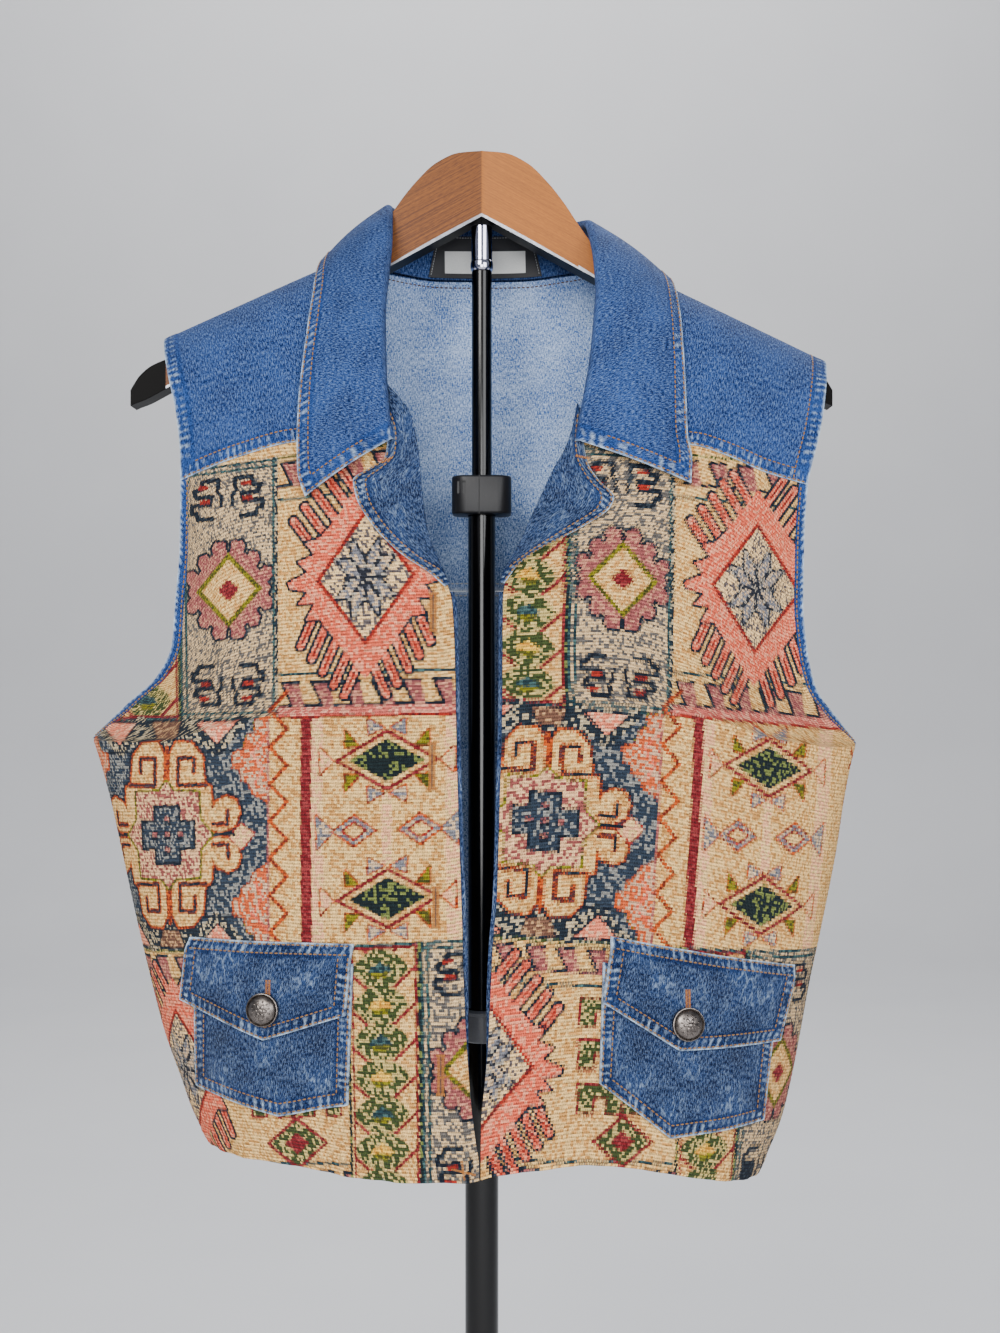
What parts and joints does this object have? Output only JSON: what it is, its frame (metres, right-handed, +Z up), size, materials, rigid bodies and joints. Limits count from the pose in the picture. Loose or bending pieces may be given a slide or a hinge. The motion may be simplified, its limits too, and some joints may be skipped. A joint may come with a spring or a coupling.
{
  "type": "western vest on hanger stand",
  "caption": "Denim and tapestry western vest with collar, lapels and flap pockets, hung open on a wooden hanger on a round-base pole stand.",
  "frame": {"origin": "on the floor, at the pole's axis", "axes": "+Z up, -Y out of the vest's front, +X to the wearer's left"},
  "size_m": [0.5023, 0.32, 1.193],
  "materials": {
    "denim": "stonewashed indigo twill, worn pale at the edges",
    "pocket_denim": "stonewashed indigo twill, a little darker",
    "tapestry": "heavy ribbed tapestry weave in cream, coral, navy and olive",
    "label_cloth": "blank woven satin label",
    "gunmetal": "dark antiqued metal with bright high spots",
    "varnished_wood": "amber varnish, dark at the ends",
    "chrome": "polished",
    "black_tube": "gloss black",
    "black_plastic": "satin black",
    "black_base": "satin black"
  },
  "bodies": {
    "root": {"back_yoke": "denim", "back_body": "denim", "front_yoke_right": "denim", "front_yoke_left": "denim", "collar": "denim", "lapel_right": "denim", "lapel_left": "denim", "facing_right": "denim", "facing_left": "denim", "armhole_band_right": "denim", "armhole_band_left": "denim", "pocket_right": "pocket_denim", "pocket_left": "pocket_denim", "pocket_flap_right": "pocket_denim", "pocket_flap_left": "pocket_denim", "front_panel_right": "tapestry", "front_panel_left": "tapestry", "neck_label": "label_cloth", "flap_button_right": "gunmetal", "flap_button_left": "gunmetal", "hanger": "varnished_wood", "hanger_ferrule": "chrome", "pole_upper": "black_tube", "pole_middle": "black_tube", "pole_lower": "black_tube", "pole_clamp": "black_plastic", "pole_ring": "black_plastic", "stand_base": "black_base"}
  },
  "joints": []
}
